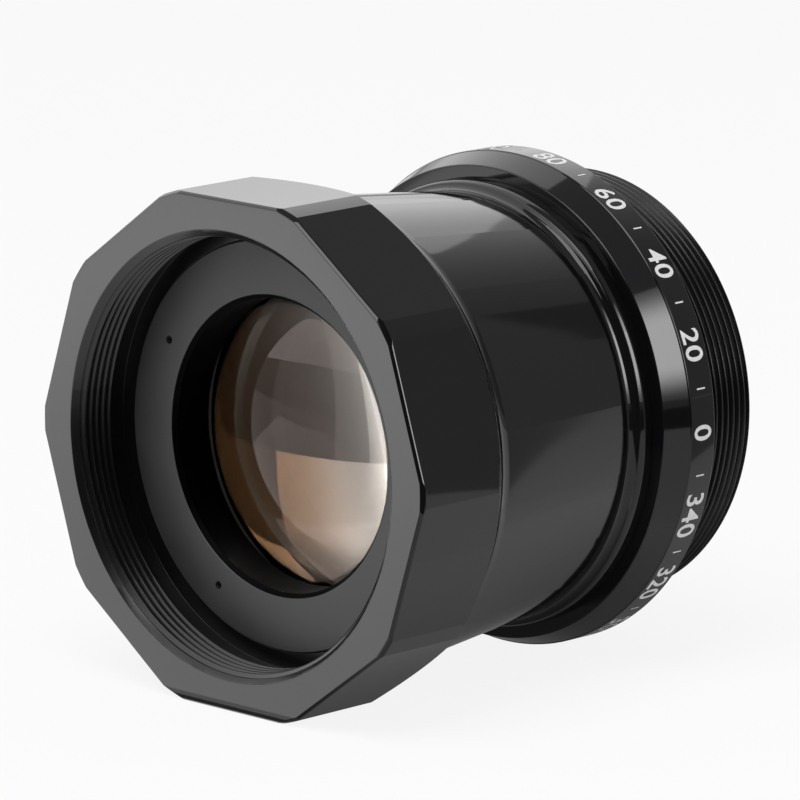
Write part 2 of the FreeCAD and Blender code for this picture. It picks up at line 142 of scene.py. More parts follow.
class Shader:
    """A material's node tree, built from expressions."""

    def __init__(self, name):
        self.material = bpy.data.materials.new(name)
        self.material.use_nodes = True
        self.tree = self.material.node_tree
        self.tree.nodes.clear()
        self.output = self.tree.nodes.new("ShaderNodeOutputMaterial")

    def node(self, kind, settings=None, inputs=None, output=0):
        """Adds a node, sets its settings first and then its sockets."""
        made = self.tree.nodes.new(kind)
        for key, value in (settings or {}).items():
            setattr(made, key, value)
        for key, value in (inputs or {}).items():
            if isinstance(value, Value):
                self.tree.links.new(value.socket, made.inputs[key])
            else:
                made.inputs[key].default_value = value
        return Value(self, made.outputs[output])

    def mix(self, factor, a, b):
        """Colour a where the factor is 0 and b where it is 1."""
        return self.node("ShaderNodeMix", {"data_type": "RGBA"}, {0: factor, 6: a, 7: b}, output=2)

    def place(self):
        """Object coordinates."""
        return self.node("ShaderNodeTexCoord", output="Object")

    def parts(self, where):
        """The x, y and z of a place, each as a value of its own."""
        split = self.node("ShaderNodeSeparateXYZ", {}, {0: where})
        return [Value(self, socket) for socket in split.socket.node.outputs]

    def noise(self, where, scale, detail=3.0, rough=0.6):
        """Noise with about as many lumps to the metre as scale says."""
        return self.node("ShaderNodeTexNoise", {}, {
            "Vector": where, "Scale": scale, "Detail": detail, "Roughness": rough})

    def bump(self, height, distance):
        """Normal of a surface whose relief is height times distance."""
        return self.node("ShaderNodeBump", {}, {"Height": height, "Distance": distance})

    def surface(self, shader_value):
        """Joins the finished shader to the material's output."""
        self.tree.links.new(shader_value.socket, self.output.inputs["Surface"])
        return self.material


# %% [markdown]
# ## The studio
# Polished black shows little colour of its own: what is seen is the room. So the studio is built
# first. A white floor runs under the object and a white room closes it in. Flat cards that
# give light, or hold it back, hang round the object. The camera doesn't see them: they show
# only as reflections in the metal, which is how such a photograph is lit.

# %% Studio surfaces
FLOOR_HEIGHT = -48.5 * MM
CENTRE = np.array([40.0, 45.0, 10.0]) * MM
X, Y, Z = range(3)


def direction(azimuth, elevation):
    """Unit vector from azimuth, turned from +X towards +Y, and elevation, in degrees."""
    a = np.radians(azimuth)
    e = np.radians(elevation)
    return np.array([np.cos(e) * np.cos(a), np.cos(e) * np.sin(a), np.sin(e)])


def stage_mesh(name, corners, faces, material, seen=True):
    """Mesh that belongs to the studio and not to the object."""
    mesh = bpy.data.meshes.new(name)
    mesh.from_pydata([tuple(corner) for corner in corners], [], faces)
    mesh.materials.append(material)
    thing = bpy.data.objects.new(name, mesh)
    bpy.context.collection.objects.link(thing)
    thing.visible_camera = seen
    thing.visible_transmission = seen
    thing.visible_shadow = False
    thing.visible_diffuse = seen
    return thing


def card_material(name, strength, fades):
    """Even light, or one that runs from strength to another along one axis or two.

    A fade holds the axis, the place where it starts to act, the place from which on the
    light has the fade's own strength, and that strength. A later fade goes over an earlier one.
    """
    shader = Shader(name)
    parts = shader.parts(shader.place())
    light = (strength, strength, strength, 1.0)
    for axis, start, end, other in fades:
        step = shader.node("ShaderNodeMapRange", {"interpolation_type": "SMOOTHSTEP"}, {
            0: parts[axis], 1: start * MM, 2: end * MM, 3: 0.0, 4: 1.0})
        light = shader.mix(step, light, (other, other, other, 1.0))
    return shader.surface(shader.node("ShaderNodeEmission", {}, {"Color": light}))


def paper_material(name, shade):
    """White to the eye and in mirrors, with enough real paper left to hold a shadow.

    Mix of a plain white surface and an even glow: the factor is 1 - shade for rays that come
    from the camera, a mirror or glass, and 0 for the rest.
    """
    shader = Shader(name)
    paper = shader.node("ShaderNodeBsdfDiffuse", {}, {"Color": (0.9, 0.9, 0.9, 1.0)})
    glow = shader.node("ShaderNodeEmission", {}, {"Color": (1.0, 1.0, 1.0, 1.0)})
    camera_ray = shader.node("ShaderNodeLightPath", output="Is Camera Ray")
    rays = camera_ray.socket.node.outputs
    mirror_ray = Value(shader, rays["Is Glossy Ray"])
    glass_ray = Value(shader, rays["Is Transmission Ray"])
    seen = camera_ray + mirror_ray + glass_ray
    both = shader.node("ShaderNodeMixShader", {}, {0: seen * (1.0 - shade), 1: paper, 2: glow})
    return shader.surface(both)


# %% [markdown]
# ### Floor and kinds of card
# The floor is a wide square of paper at the height of the lowest flat. A card is given by its
# corners. A level one lies at one height, and a far one is given by the directions in which its
# corners are seen from the object, which can be read off a reflection.

# %% Floor and cards
FLOOR_REACH = 4.0
FLOOR_SHADE = 0.12
stage_mesh("floor", [
    (-FLOOR_REACH, -FLOOR_REACH, FLOOR_HEIGHT), (FLOOR_REACH, -FLOOR_REACH, FLOOR_HEIGHT),
    (FLOOR_REACH, FLOOR_REACH, FLOOR_HEIGHT), (-FLOOR_REACH, FLOOR_REACH, FLOOR_HEIGHT),
], [(0, 1, 2, 3)], paper_material("floor_paper", FLOOR_SHADE))


def card(name, corners, strength, *fades):
    """Flat card that only mirrors see. Its corners are given in millimetres."""
    corners = np.array(corners, float) * MM
    material = card_material(name, strength, fades)
    return stage_mesh(name, corners, [tuple(range(len(corners)))], material, seen=False)


def level_card(name, height, corners, strength, *fades):
    """Card that lies level, at one height above the optical axis."""
    return card(name, [(x, y, height) for x, y in corners], strength, *fades)


def far_card(name, outline, distance, strength, *fades):
    """Card whose corners lie in given directions, azimuth and elevation, from the object."""
    return card(name, [CENTRE / MM + distance * direction(*corner) for corner in outline],
                strength, *fades)


def in_glass_only(thing):
    """Show a card only to rays that come out of glass, so no metal mirrors it."""
    thing.visible_transmission = True
    thing.visible_glossy = False


print("floor lies at", round(FLOOR_HEIGHT / MM, 1), "mm")

# %% [markdown]
# ### Room light
# The world is the room: a plain grey that fills the shadows. To the camera, and through glass,
# it is white, so that the object stands on white from every side.

# %% World
ROOM_GREY = (0.40, 0.40, 0.41, 1.0)
world = bpy.data.worlds.new("room")
bpy.context.scene.world = world
world.use_nodes = True
tree = world.node_tree
tree.nodes.clear()
world_out = tree.nodes.new("ShaderNodeOutputWorld")
room = tree.nodes.new("ShaderNodeBackground")
room.inputs["Color"].default_value = ROOM_GREY
white = tree.nodes.new("ShaderNodeBackground")
white.inputs["Color"].default_value = (1.0, 1.0, 1.0, 1.0)
path = tree.nodes.new("ShaderNodeLightPath")
either = tree.nodes.new("ShaderNodeMath")
either.operation = "MAXIMUM"
blend = tree.nodes.new("ShaderNodeMixShader")
tree.links.new(path.outputs["Is Camera Ray"], either.inputs[0])
tree.links.new(path.outputs["Is Transmission Ray"], either.inputs[1])
tree.links.new(either.outputs[0], blend.inputs[0])
tree.links.new(room.outputs[0], blend.inputs[1])
tree.links.new(white.outputs[0], blend.inputs[2])
tree.links.new(blend.outputs[0], world_out.inputs["Surface"])
print("the room's grey:", ROOM_GREY[:3])

# %% [markdown]
# ### Boards overhead
# A white board hangs over the left rear, a dimmer one beside it, and a dark gap opens to the
# right of both. Their straight edges, seen in the tapered barrel, draw its clean facets of
# light, so each corner lies where the edge of a facet asks for it.

# %% Boards overhead
TENT_HEIGHT = 130.0
TENT_REACH = 1500.0
BOARD_REACH = 2500.0
BOARD_TURN = 140.0
SCREEN_TURN = 57.8
BOARD_CORNER = np.array([-4.6, 158.6])
SCREEN_CORNER = np.array([84.0, 196.0])


def along(start, turn, distance):
    """Point of a level line that starts at a point and runs in an azimuth in degrees."""
    return tuple(start + distance * direction(turn, 0.0)[:2])


board_end = along(BOARD_CORNER, BOARD_TURN, TENT_REACH)
level_card("bright_board", TENT_HEIGHT, [
    BOARD_CORNER, board_end, (-BOARD_REACH, board_end[1]), (-BOARD_REACH, -100.0),
    (-40.0, -100.0), (-15.0, 60.0)], 1.9, (X, -60.0, -700.0, 0.8))
level_card("grey_board", TENT_HEIGHT, [
    (SCREEN_CORNER[0], 168.0), (SCREEN_CORNER[0], BOARD_REACH), (board_end[0], BOARD_REACH),
    board_end, BOARD_CORNER, (BOARD_CORNER[0], 148.0)], 0.34, (X, 84.0, -100.0, 1.15))
level_card("dark_gap", TENT_HEIGHT, [
    SCREEN_CORNER, along(SCREEN_CORNER, SCREEN_TURN, BOARD_REACH),
    (SCREEN_CORNER[0], 2300.0)], 0.17)
print("board runs to", np.round(board_end), "mm")

# %% [markdown]
# ### Paper below and lights round about
# The floor is shaded close to the object, and its paper ends along a straight line at the right,
# with a black floor beyond. Bright paper and a white wall in front turn the front face grey. A
# tall soft light stands at the right and draws the bright lines on the land and the band. A
# dark room at the front right keeps the flats of the grip black.

# %% Paper and lights
PAPER_LIFT = 0.3
PAPER_REACH = 3900.0
PAPER_TURN = 20.0
PAPER_CORNER = np.array([100.0, 126.0])
FLOOR_LEVEL = FLOOR_HEIGHT / MM + PAPER_LIFT
LIGHT_EDGES = -8.0, 26.0
LIGHT_BREAK = 29.0
LIGHT_DISTANCE = 1200.0


def upright(edges, low, high):
    """Corners of a card between two azimuths and two elevations, in degrees."""
    left, right_edge = edges
    return [(left, low), (right_edge, low), (right_edge, high), (left, high)]


level_card("near_floor", FLOOR_LEVEL, [
    (-50.0, -2.0), (72.0, -2.0), (72.0, 150.0), (-50.0, 150.0)], 0.17, (X, 14.0, 72.0, 1.0))
level_card("paper_end", FLOOR_LEVEL, [
    PAPER_CORNER, along(PAPER_CORNER, SCREEN_TURN, 3500.0), (PAPER_REACH, 2700.0),
    along(PAPER_CORNER, PAPER_TURN, PAPER_REACH)], 0.40)
level_card("black_floor", FLOOR_LEVEL, [
    along(PAPER_CORNER, PAPER_TURN, 266.0), along(PAPER_CORNER, PAPER_TURN, PAPER_REACH),
    (PAPER_REACH, -PAPER_REACH), (-400.0, -PAPER_REACH), (-40.0, -400.0), (60.0, -60.0),
    (350.0, 0.0)], 0.05)
level_card("front_paper", FLOOR_LEVEL, [
    (45.0, -4.0), (52.0, -50.0), (-200.0, -460.0), (-520.0, -460.0), (-130.0, -4.0)],
    1.75, (Y, -10.0, -300.0, 2.35))
far_card("right_light", upright(LIGHT_EDGES, 2.0, LIGHT_BREAK), LIGHT_DISTANCE,
         1.0, (Z, 60.0, 330.0, 12.0))
far_card("right_light_top", upright(LIGHT_EDGES, LIGHT_BREAK, 46.0), LIGHT_DISTANCE,
         12.0, (Z, 640.0, 873.0, 2.0))
far_card("front_wall", [(-175.0, 1.0), (-97.0, 17.0), (-97.0, 50.0), (-175.0, 50.0)],
         2400.0, 3.2)
far_card("dark_room", upright((-96.0, -12.0), -2.0, 60.0), 2600.0, 0.05)
print("floor cards lie at", round(FLOOR_LEVEL, 2), "mm")

# %% [markdown]
# ### Cards seen in the lens
# Three more cards are seen only by light that has been inside the lenses. A window in front
# gives the warm lower zone with its level upper edge, and fades towards the left and upwards.
# A shaded floor darkens the middle and leaves the white crescent at the right rim. A dark
# board stands behind the neck.

# %% Cards seen in the lens
SHADE_EDGE = -33.0
SHADE_REACH = 2300.0
SHADE_PLACE = 104.0
SHADE_HALF = 60.0

in_glass_only(far_card("front_window", upright((-175.0, -97.0), -1.0, 50.0), 2300.0,
                       5.2, (Z, 650.0, 1350.0, 1.9), (X, -750.0, -1200.0, 1.8)))
in_glass_only(level_card("front_shade", FLOOR_LEVEL, [
    (SHADE_EDGE, 0.0), (60.0, 0.0), (1500.0, -SHADE_REACH),
    (SHADE_EDGE - SHADE_REACH, -SHADE_REACH)], 0.46))
in_glass_only(card("rear_shade", [
    (-SHADE_HALF, SHADE_PLACE, -SHADE_HALF), (SHADE_HALF, SHADE_PLACE, -SHADE_HALF),
    (SHADE_HALF, SHADE_PLACE, SHADE_HALF), (-SHADE_HALF, SHADE_PLACE, SHADE_HALF)], 0.30))
print("dark board stands at", SHADE_PLACE, "mm, behind the neck")

# %% [markdown]
# ### Key light
# One square lamp high at the front casts the soft shadow on the floor. Its own axes are worked
# out from its place: it looks at the middle of the object and stands level.

# %% Key light
KEY_SIZE = 0.9
KEY_POWER = 14.0
KEY_DISTANCE = 1.5
KEY_AZIMUTH = -70.0
KEY_ELEVATION = 62.0
key_data = bpy.data.lights.new("key", "AREA")
key_data.shape = "SQUARE"
key_data.size = KEY_SIZE
key_data.energy = KEY_POWER
key = bpy.data.objects.new("key", key_data)
bpy.context.collection.objects.link(key)
key_axis = direction(KEY_AZIMUTH, KEY_ELEVATION)
key_right = np.cross([0.0, 0.0, 1.0], key_axis)
key_right /= np.linalg.norm(key_right)
turn = np.eye(4)
turn[:3, 0], turn[:3, 1] = key_right, np.cross(key_axis, key_right)
turn[:3, 2], turn[:3, 3] = key_axis, CENTRE + KEY_DISTANCE * key_axis
key.matrix_world = Matrix(turn.tolist())
print("key light at", np.round(turn[:3, 3], 2), "m")

# %% [markdown]
# ## Finishes
# Black anodising is a thin glassy layer on turned metal. The metal under it is almost hidden,
# so the surface is a dark, non-metallic gloss. The lathe leaves fine rings, which show as a
# slight waver in the reflections: they are a noise that varies only along the axis and with the
# radius, in the bump. Fine speckle in the roughness stands for the grain of the oxide.

# %% Gloss black anodising
OXIDE_INDEX = 1.40
DARK_BORE = 28.7 * MM
# painted shade: near-black colour for the metal inside DARK_BORE, so the deep inside of the tube
# stays dark
BORE_PAINTED_SHADE = (0.002, 0.002, 0.002, 1.0)


def anodised(name, colour, roughness, level, ring_depth, ring_pitch, grain):
    """Black anodised metal. Roughness and bump vary; colour has a faint mottle.

    level is the strength of the mirror part, 0.5 for a plain glassy surface of this index.
    Inside DARK_BORE, along the light path, the colour is painted shade: near black, so that the
    deep inside of the tube stays dark and mirrors next to nothing, since as a metal of that dark
    colour it throws back only the colour's own share.
    """
    shader = Shader(name)
    where = shader.place()
    x, y, z = shader.parts(where)
    mottle = shader.noise(where, 90.0, 4.0)
    speckle = shader.noise(where, 2600.0, 2.0)
    radius = (x * x + z * z).root()
    outside = radius.over(DARK_BORE)
    rings = shader.node("ShaderNodeCombineXYZ", {}, {0: radius, 1: y, 2: 0.0})
    lathe = shader.noise(rings, 1.0 / ring_pitch, 2.0, 0.55)
    bright = tuple(min(1.0, part * 1.6) for part in colour)
    metal = shader.mix(mottle, (*colour, 1.0), (*bright, 1.0))
    # painted shade: inside DARK_BORE the colour is near black and, as metal, mirrors next to
    # nothing
    tint = shader.mix(outside, BORE_PAINTED_SHADE, metal)
    rough = roughness + grain * (speckle - 0.5) + 0.4 * roughness * (mottle - 0.5)
    normal = shader.bump(lathe * 0.8 + speckle * grain, ring_depth)
    body = shader.node("ShaderNodeBsdfPrincipled", {}, {
        "Base Color": tint, "Metallic": 1.0 - outside, "Roughness": rough, "IOR": OXIDE_INDEX,
        "Specular IOR Level": level, "Normal": normal})
    return shader.surface(body)


gloss_black = anodised(
    "gloss_black_anodised", (0.0035, 0.0035, 0.004), roughness=0.07, level=0.50,
    ring_depth=0.0006 * MM, ring_pitch=0.22 * MM, grain=0.03)
face_black = anodised(
    "faced_black_anodised", (0.0045, 0.0045, 0.005), roughness=0.08, level=1.0,
    ring_depth=0.0006 * MM, ring_pitch=0.20 * MM, grain=0.03)
bore_black = anodised(
    "bore_black_anodised", (0.003, 0.003, 0.0033), roughness=0.24, level=0.40,
    ring_depth=0.0010 * MM, ring_pitch=0.22 * MM, grain=0.04)
matt_black = anodised(
    "matt_black_anodised", (0.022, 0.022, 0.0225), roughness=0.46, level=0.70,
    ring_depth=0.004 * MM, ring_pitch=0.30 * MM, grain=0.10)
print("four black finishes")

# %% [markdown]
# ### Coated glass, rubber and paint
# Glass is a clear refracting body. Its coating takes most of the mirror image away and leaves a
# faint warm one, so the mirror part is multiplied by a small colour. Near the rim light meets
# the rear face of the crown at such a slant that all of it is thrown back, which gives the white
# crescent. Rubber, paint and the blackened rims of the lenses are one kind of matt surface, in
# which a fine grain mixes two greys.

# %% Glass and matt finishes
def coated_glass(name, index, coating, tint):
    """Clear glass. coating is the share, in each colour, of the bare glass's mirror image that
    the coating leaves; tint is the glass's own faint colour."""
    shader = Shader(name)
    melt = shader.noise(shader.place(), 40.0, 2.0, 0.5)
    paler = tuple(0.5 + part / 2 for part in tint)
    body = shader.node("ShaderNodeBsdfPrincipled", {}, {
        "Base Color": shader.mix(melt, (*tint, 1.0), (*paler, 1.0)), "Roughness": 0.0,
        "IOR": index, "Transmission Weight": 1.0, "Specular Tint": (*coating, 1.0)})
    return shader.surface(body)


def matt(name, dark, light, roughness, fineness, relief):
    """Matt surface whose grain mixes two greys and adds up to 0.2 to the roughness."""
    shader = Shader(name)
    grain = shader.noise(shader.place(), fineness)
    body = shader.node("ShaderNodeBsdfPrincipled", {}, {
        "Base Color": shader.mix(grain, (dark, dark, dark, 1.0), (light, light, light, 1.0)),
        "Roughness": roughness + 0.2 * grain, "Normal": shader.bump(grain, relief)})
    return shader.surface(body)


front_glass = coated_glass("front_coated_glass", 1.56, (0.17, 0.112, 0.10), (0.99, 0.96, 0.92))
crown_glass = coated_glass("crown_coated_glass", 1.58, (0.10, 0.070, 0.055), (0.99, 0.97, 0.95))
flint_glass = coated_glass("flint_coated_glass", 1.58, (0.66, 0.35, 0.14), (0.99, 0.96, 0.91))
seal_rubber = matt("seal_rubber", 0.010, 0.020, 0.60, 1800.0, 0.01 * MM)
white_paint = matt("white_print", 0.72, 0.86, 0.45, 2200.0, 0.004 * MM)
rim_black = matt("blackened_rim", 0.006, 0.014, 0.55, 1500.0, 0.01 * MM)
print("materials in all:", len(bpy.data.materials))

# %% [markdown]
# ## Turned surfaces
# Nearly every piece is turned on a lathe. Such a piece is one closed outline of places and radii
# carried round the axis. The grid has one row for each point of the outline and one column for
# each step of the turn, so all points come from whole arrays. Sharp corners of the outline
# are cut back by a hair, because real edges are broken and catch a thin line of light.

# %% Outline helpers
BREAK = 0.10
BREAK_SHARE = 0.3
ARC_STEP = math.radians(3.0)
SMALL_TURN = math.radians(6.0)
HAIR = 0.01


def soften(outline):
    """Cuts each sharp corner of a closed outline back by the same length on both sides.

    A corner P between neighbours A and B becomes P + c * (A - P) / |A - P| and the same towards
    B, where c is BREAK or BREAK_SHARE of the shorter side. Corners that turn by less than
    SMALL_TURN, as along an arc, stay as they are.
    """
    points = np.asarray(outline, float)
    before = np.roll(points, 1, axis=0) - points
    after = np.roll(points, -1, axis=0) - points
    long_before = np.linalg.norm(before, axis=1, keepdims=True)
    long_after = np.linalg.norm(after, axis=1, keepdims=True)
    straight = (-(before * after).sum(1, keepdims=True) / (long_before * long_after)).clip(-1, 1)
    sharp = np.arccos(straight)[:, 0] > SMALL_TURN
    length = np.minimum(BREAK, BREAK_SHARE * np.minimum(long_before, long_after))
    first = points + before / long_before * length
    second = points + after / long_after * length
    rows = [np.array([a, b]) if s else p[None] for a, b, p, s in zip(first, second, points, sharp)]
    return np.concatenate(rows)


def turned_points(outline, angles):
    """Points of an outline carried round the axis: x = r cos a, y = place, z = r sin a."""
    y = outline[:, 0][:, None] + 0 * angles[None]
    r = outline[:, 1][:, None] + 0 * angles[None]
    return np.stack([r * np.cos(angles), y, r * np.sin(angles)], axis=-1)


def arc(centre, radius, start, end):
    """Points along an arc of a circle in the outline, from one angle to another, in degrees."""
    count = max(3, int(abs(math.radians(end - start)) / ARC_STEP) + 2)
    t = np.radians(np.linspace(start, end, count))
    return np.stack([centre[0] + radius * np.cos(t), centre[1] + radius * np.sin(t)], axis=-1)


print("sharp corners are cut back by", BREAK, "mm")

# %% [markdown]
# ### Closed grids
# The points of a turned piece become a mesh in one go: every four neighbours in the grid make
# one face. Its normals are averaged by area, which keeps flats flat and edges crisp.

# %% Closed grids
def grid_mesh(name, points, material, others=()):
    """Closed mesh from a grid of points, with one smooth normal for each point.

    points has the shape rows, columns, 3. Both directions wrap round. A point's normal is the
    sum of the normals of its faces, each as long as the face is large, so a wide flat face keeps
    its flat shading right up to a narrow broken edge. others holds pairs of a material and a mark
    for each row: faces between two marked rows take that material.
    """
    rows, columns, _ = points.shape
    index = np.arange(rows * columns).reshape(rows, columns)
    below = np.roll(index, -1, axis=0)
    faces = np.stack([
        index, below, np.roll(below, -1, axis=1), np.roll(index, -1, axis=1)], axis=-1)
    faces = faces.reshape(-1, 4)
    place = points.reshape(-1, 3)
    across = place[faces[:, 2]] - place[faces[:, 0]]
    along = place[faces[:, 3]] - place[faces[:, 1]]
    area_normal = np.cross(across, along)
    volume = (place[faces].mean(1) * area_normal).sum()
    if volume < 0:
        faces = faces[:, ::-1]
        area_normal = -area_normal
    normals = np.zeros_like(place)
    for corner in range(4):
        np.add.at(normals, faces[:, corner], area_normal)
    normals /= np.maximum(np.linalg.norm(normals, axis=1, keepdims=True), 1e-12)

    mesh = bpy.data.meshes.new(name)
    mesh.vertices.add(len(place))
    mesh.vertices.foreach_set("co", (place * MM).astype(np.float32).ravel())
    mesh.loops.add(faces.size)
    mesh.loops.foreach_set("vertex_index", faces.astype(np.int32).ravel())
    mesh.polygons.add(len(faces))
    mesh.polygons.foreach_set("loop_start", np.arange(0, faces.size, 4, dtype=np.int32))
    mesh.polygons.foreach_set("loop_total", np.full(len(faces), 4, dtype=np.int32))
    mesh.update(calc_edges=True)
    mesh.validate()
    mesh.polygons.foreach_set("use_smooth", np.ones(len(mesh.polygons), dtype=bool))
    mesh.normals_split_custom_set_from_vertices(normals.tolist())
    mesh.materials.append(material)
    number = np.zeros(rows, dtype=np.int32)
    for count, (other, marked) in enumerate(others, 1):
        mesh.materials.append(other)
        number[marked & np.roll(marked, -1)] = count
    mesh.polygons.foreach_set("material_index", np.repeat(number, columns))
    thing = bpy.data.objects.new(name, mesh)
    bpy.context.collection.objects.link(thing)
    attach(thing, "root")
    print(f"{name}: {len(faces)} faces")
    return thing


# %% [markdown]
# ## Screw threads
# A thread is a ridge that climbs one pitch in each turn. On the grid, the radius at a point is
# the plain radius plus or minus the ridge's height, and the ridge repeats with
# `place / pitch + angle / full turn`. That sum is what makes a right-hand thread here. The
# ridge has 60 degree flanks with a narrow flat on the crest and in the root.

# %% Thread profile
INCH = 25.4
THREADS_PER_INCH = 16
PITCH = INCH / THREADS_PER_INCH
THREAD_DEPTH = 0.86
STEPS_PER_PITCH = 16
CREST_END = 0.09
ROOT_START = 0.41


def thread_height(place, angle):
    """Height of the ridge, 0 in the root and 1 on the crest, for a right-hand thread.

    The distance from the middle of the crest runs from 0 to 0.5, in pitches. Over it the height
    falls in a straight line, from 1 at CREST_END to 0 at ROOT_START.
    """
    turnwise = place / PITCH + angle / (2 * np.pi)
    from_crest = np.abs(turnwise - np.round(turnwise))
    return np.clip((ROOT_START - from_crest) / (ROOT_START - CREST_END), 0.0, 1.0)


print("pitch", PITCH, "mm")


# %% [markdown]
# ## The barrel
# The largest piece: a turned body whose front is milled into ten flats. The radius of its
# outside at any place is the smaller of two things, the turned outline and the flat, which lies
# at `flat radius / cos(angle from the flat's middle)`. These are its outside sizes, from the
# front face backwards: places along the axis, and radii.

# %% Barrel: outside sizes
FLATS = 10
FLAT_RADIUS = 48.5
FLAT_BREAK = 0.5
ROUND = 50.4
FRONT_FACE = 49.8
FRONT_BREAK = 1.0
REAR_BREAK_START = 20.2
REAR_BREAK_END = 22.4
REAR_RIM = 48.4
SWEEP_END = 28.2
BARREL_REAR = 64.0
BARREL_REAR_RADIUS = 41.6
TAPER = math.radians(5.87)
LAND_FRONT = 65.9
LAND_BREAK_LENGTH = 1.4
LAND_BREAK_DEPTH = 0.5
LAND = 43.35
JOINT = 69.2
SWEEP_RADIUS = BARREL_REAR_RADIUS + (BARREL_REAR - SWEEP_END) * math.tan(TAPER)
HALF_SECTOR = math.pi / FLATS
print("the taper starts at radius", round(SWEEP_RADIUS, 2), "mm")

# %% [markdown]
# ### Arcs of the outline
# Three arcs join the straight parts: the swept fillet behind the grip, the small fillet at the
# end of the taper and the lip that rolls over on to the land. The rows where a flat runs out on
# the rear break follow the flat's own corner, so they crowd where its arc is shallow.

# %% Barrel: arcs and run-outs
RUN_OUT_ROWS = 14
RUN_OUT_END = 0.006


def hollow_arc(tangent_end, other_end, backwards):
    """Hollow arc in the outline from one point to another, tangent to the taper at one of them.

    Its centre lies on the outward normal of the taper, at chord^2 / (2 * chord . normal).
    """
    tangent_end = np.array(tangent_end)
    other_end = np.array(other_end)
    outward = np.array([math.sin(TAPER), math.cos(TAPER)])
    chord = other_end - tangent_end
    bend = (chord @ chord) / (2 * chord @ outward)
    centre = tangent_end + bend * outward
    start = tangent_end - centre
    finish = other_end - centre
    a0 = math.atan2(start[1], start[0])
    a1 = math.atan2(finish[1], finish[0])
    count = max(4, int(abs(a1 - a0) / ARC_STEP) + 2)
    t = np.linspace(a0, a1, count)
    points = centre + bend * np.stack([np.cos(t), np.sin(t)], axis=-1)
    return points[::-1] if backwards else points


sweep = hollow_arc((SWEEP_END, SWEEP_RADIUS), (REAR_BREAK_END, REAR_RIM), True)
fillet = hollow_arc(
    (BARREL_REAR, BARREL_REAR_RADIUS), (LAND_FRONT, LAND - LAND_BREAK_DEPTH), False)
lip_tilt = math.degrees(2 * math.atan2(LAND_BREAK_DEPTH, LAND_BREAK_LENGTH))
lip_radius = LAND_BREAK_LENGTH / math.sin(math.radians(lip_tilt))
lip = arc((LAND_FRONT + LAND_BREAK_LENGTH, LAND - lip_radius), lip_radius, 90 + lip_tilt, 90)[1:]

corner_start = math.acos(FLAT_RADIUS / ROUND)
slope = (ROUND - REAR_RIM) / (REAR_BREAK_END - REAR_BREAK_START)
run_out_angle = np.linspace(corner_start, RUN_OUT_END, RUN_OUT_ROWS)
run_out_radius = FLAT_RADIUS / np.cos(run_out_angle)
run_out = np.stack([REAR_BREAK_START + (ROUND - run_out_radius) / slope, run_out_radius], axis=-1)
print("rows in the sweep, fillet and lip:", len(sweep), len(fillet), len(lip))

# %% [markdown]
# ### Bores
# Inside, the barrel is stepped: the mouth with the female thread, a relief, the recess that takes
# the retaining ring, the cell of the front group, the throat, the cell of the rear group and
# the wider bore of the rear ring. The whole outline runs once round the metal and closes.

# %% Barrel: bores and outline
MOUTH = 42.6
THREAD_WALL = 41.813
THREAD_END = 9.2
RELIEF = 42.45
RECESS = 13.5
RING_BORE = 39.13
RING_SEAT = 24.0
FRONT_CELL = 32.65
FRONT_SEAT = 48.4
THROAT = 25.5
REAR_SEAT = 56.0
REAR_CELL = 30.55
REAR_BORE_START = 70.8
REAR_RING_BORE = 31.73
SPIGOT = 41.9
SPIGOT_END = 78.0
REAR_FLARE = 1.5
OUTSIDE = RELIEF + 0.1

thread_rows = np.arange(THREAD_END, MOUTH - THREAD_WALL, -PITCH / STEPS_PER_PITCH)
barrel_outline = soften(np.concatenate([
    [(0.0, MOUTH), (0.0, FRONT_FACE),
     (FLAT_BREAK, FRONT_FACE + (ROUND - FRONT_FACE) * FLAT_BREAK / FRONT_BREAK),
     (FRONT_BREAK, ROUND)],
    run_out,
    sweep,
    fillet,
    lip,
    [(JOINT, LAND), (JOINT, SPIGOT),
     (SPIGOT_END, SPIGOT), (SPIGOT_END, REAR_RING_BORE + REAR_FLARE),
     (SPIGOT_END - REAR_FLARE, REAR_RING_BORE), (REAR_BORE_START, REAR_RING_BORE),
     (REAR_BORE_START, REAR_CELL), (REAR_SEAT, REAR_CELL), (REAR_SEAT, THROAT),
     (FRONT_SEAT, THROAT), (FRONT_SEAT, FRONT_CELL), (RING_SEAT, FRONT_CELL),
     (RING_SEAT, RING_BORE), (RECESS, RING_BORE), (RECESS, RELIEF),
     (THREAD_END + RELIEF - THREAD_WALL, RELIEF)],
    np.stack([thread_rows, np.full(len(thread_rows), THREAD_WALL)], axis=-1),
    [(MOUTH - THREAD_WALL, THREAD_WALL)],
]))
print("barrel outline:", len(barrel_outline), "rows")

# %% [markdown]
# ### Columns that follow the milled corners
# In each tenth of the turn the columns run from the middle of one flat to the middle of the
# next corner. The corner between flat and round gets three columns a hair apart, which
# round its edge off in the shading. Behind the grip the columns spread out evenly again.

# %% Barrel: columns
EDGE_HALF_WIDTH = 0.09
FLAT_COLUMNS = 6
ROUND_COLUMNS = 4


def corner_angles(outline):
    """Angle from a flat's middle to the corner of the flat, for each row of the outline.

    On the grip it is arccos(flat limit / radius). Behind the grip it grows back to half of the
    sector along the swept fillet, and in the bores it stays there.
    """
    y, r = outline.T
    even = HALF_SECTOR / 2
    limit = FLAT_RADIUS - np.clip(FLAT_BREAK - y, 0.0, FLAT_BREAK)
    on_grip = (r > MOUTH) & (y < REAR_BREAK_END)
    exact = np.arccos(np.clip(limit / np.maximum(r, limit + 0.001), -1.0, 1.0))
    face = np.arccos(limit / FRONT_FACE)
    exact = np.where((y <= 0.0) & (r <= limit), face, exact)
    spread = np.clip((y - REAR_BREAK_END) / (SWEEP_END - REAR_BREAK_END), 0.0, 1.0)
    outer = np.where(on_grip, exact, RUN_OUT_END + spread * (even - RUN_OUT_END))
    return np.where(r > OUTSIDE, outer, even)


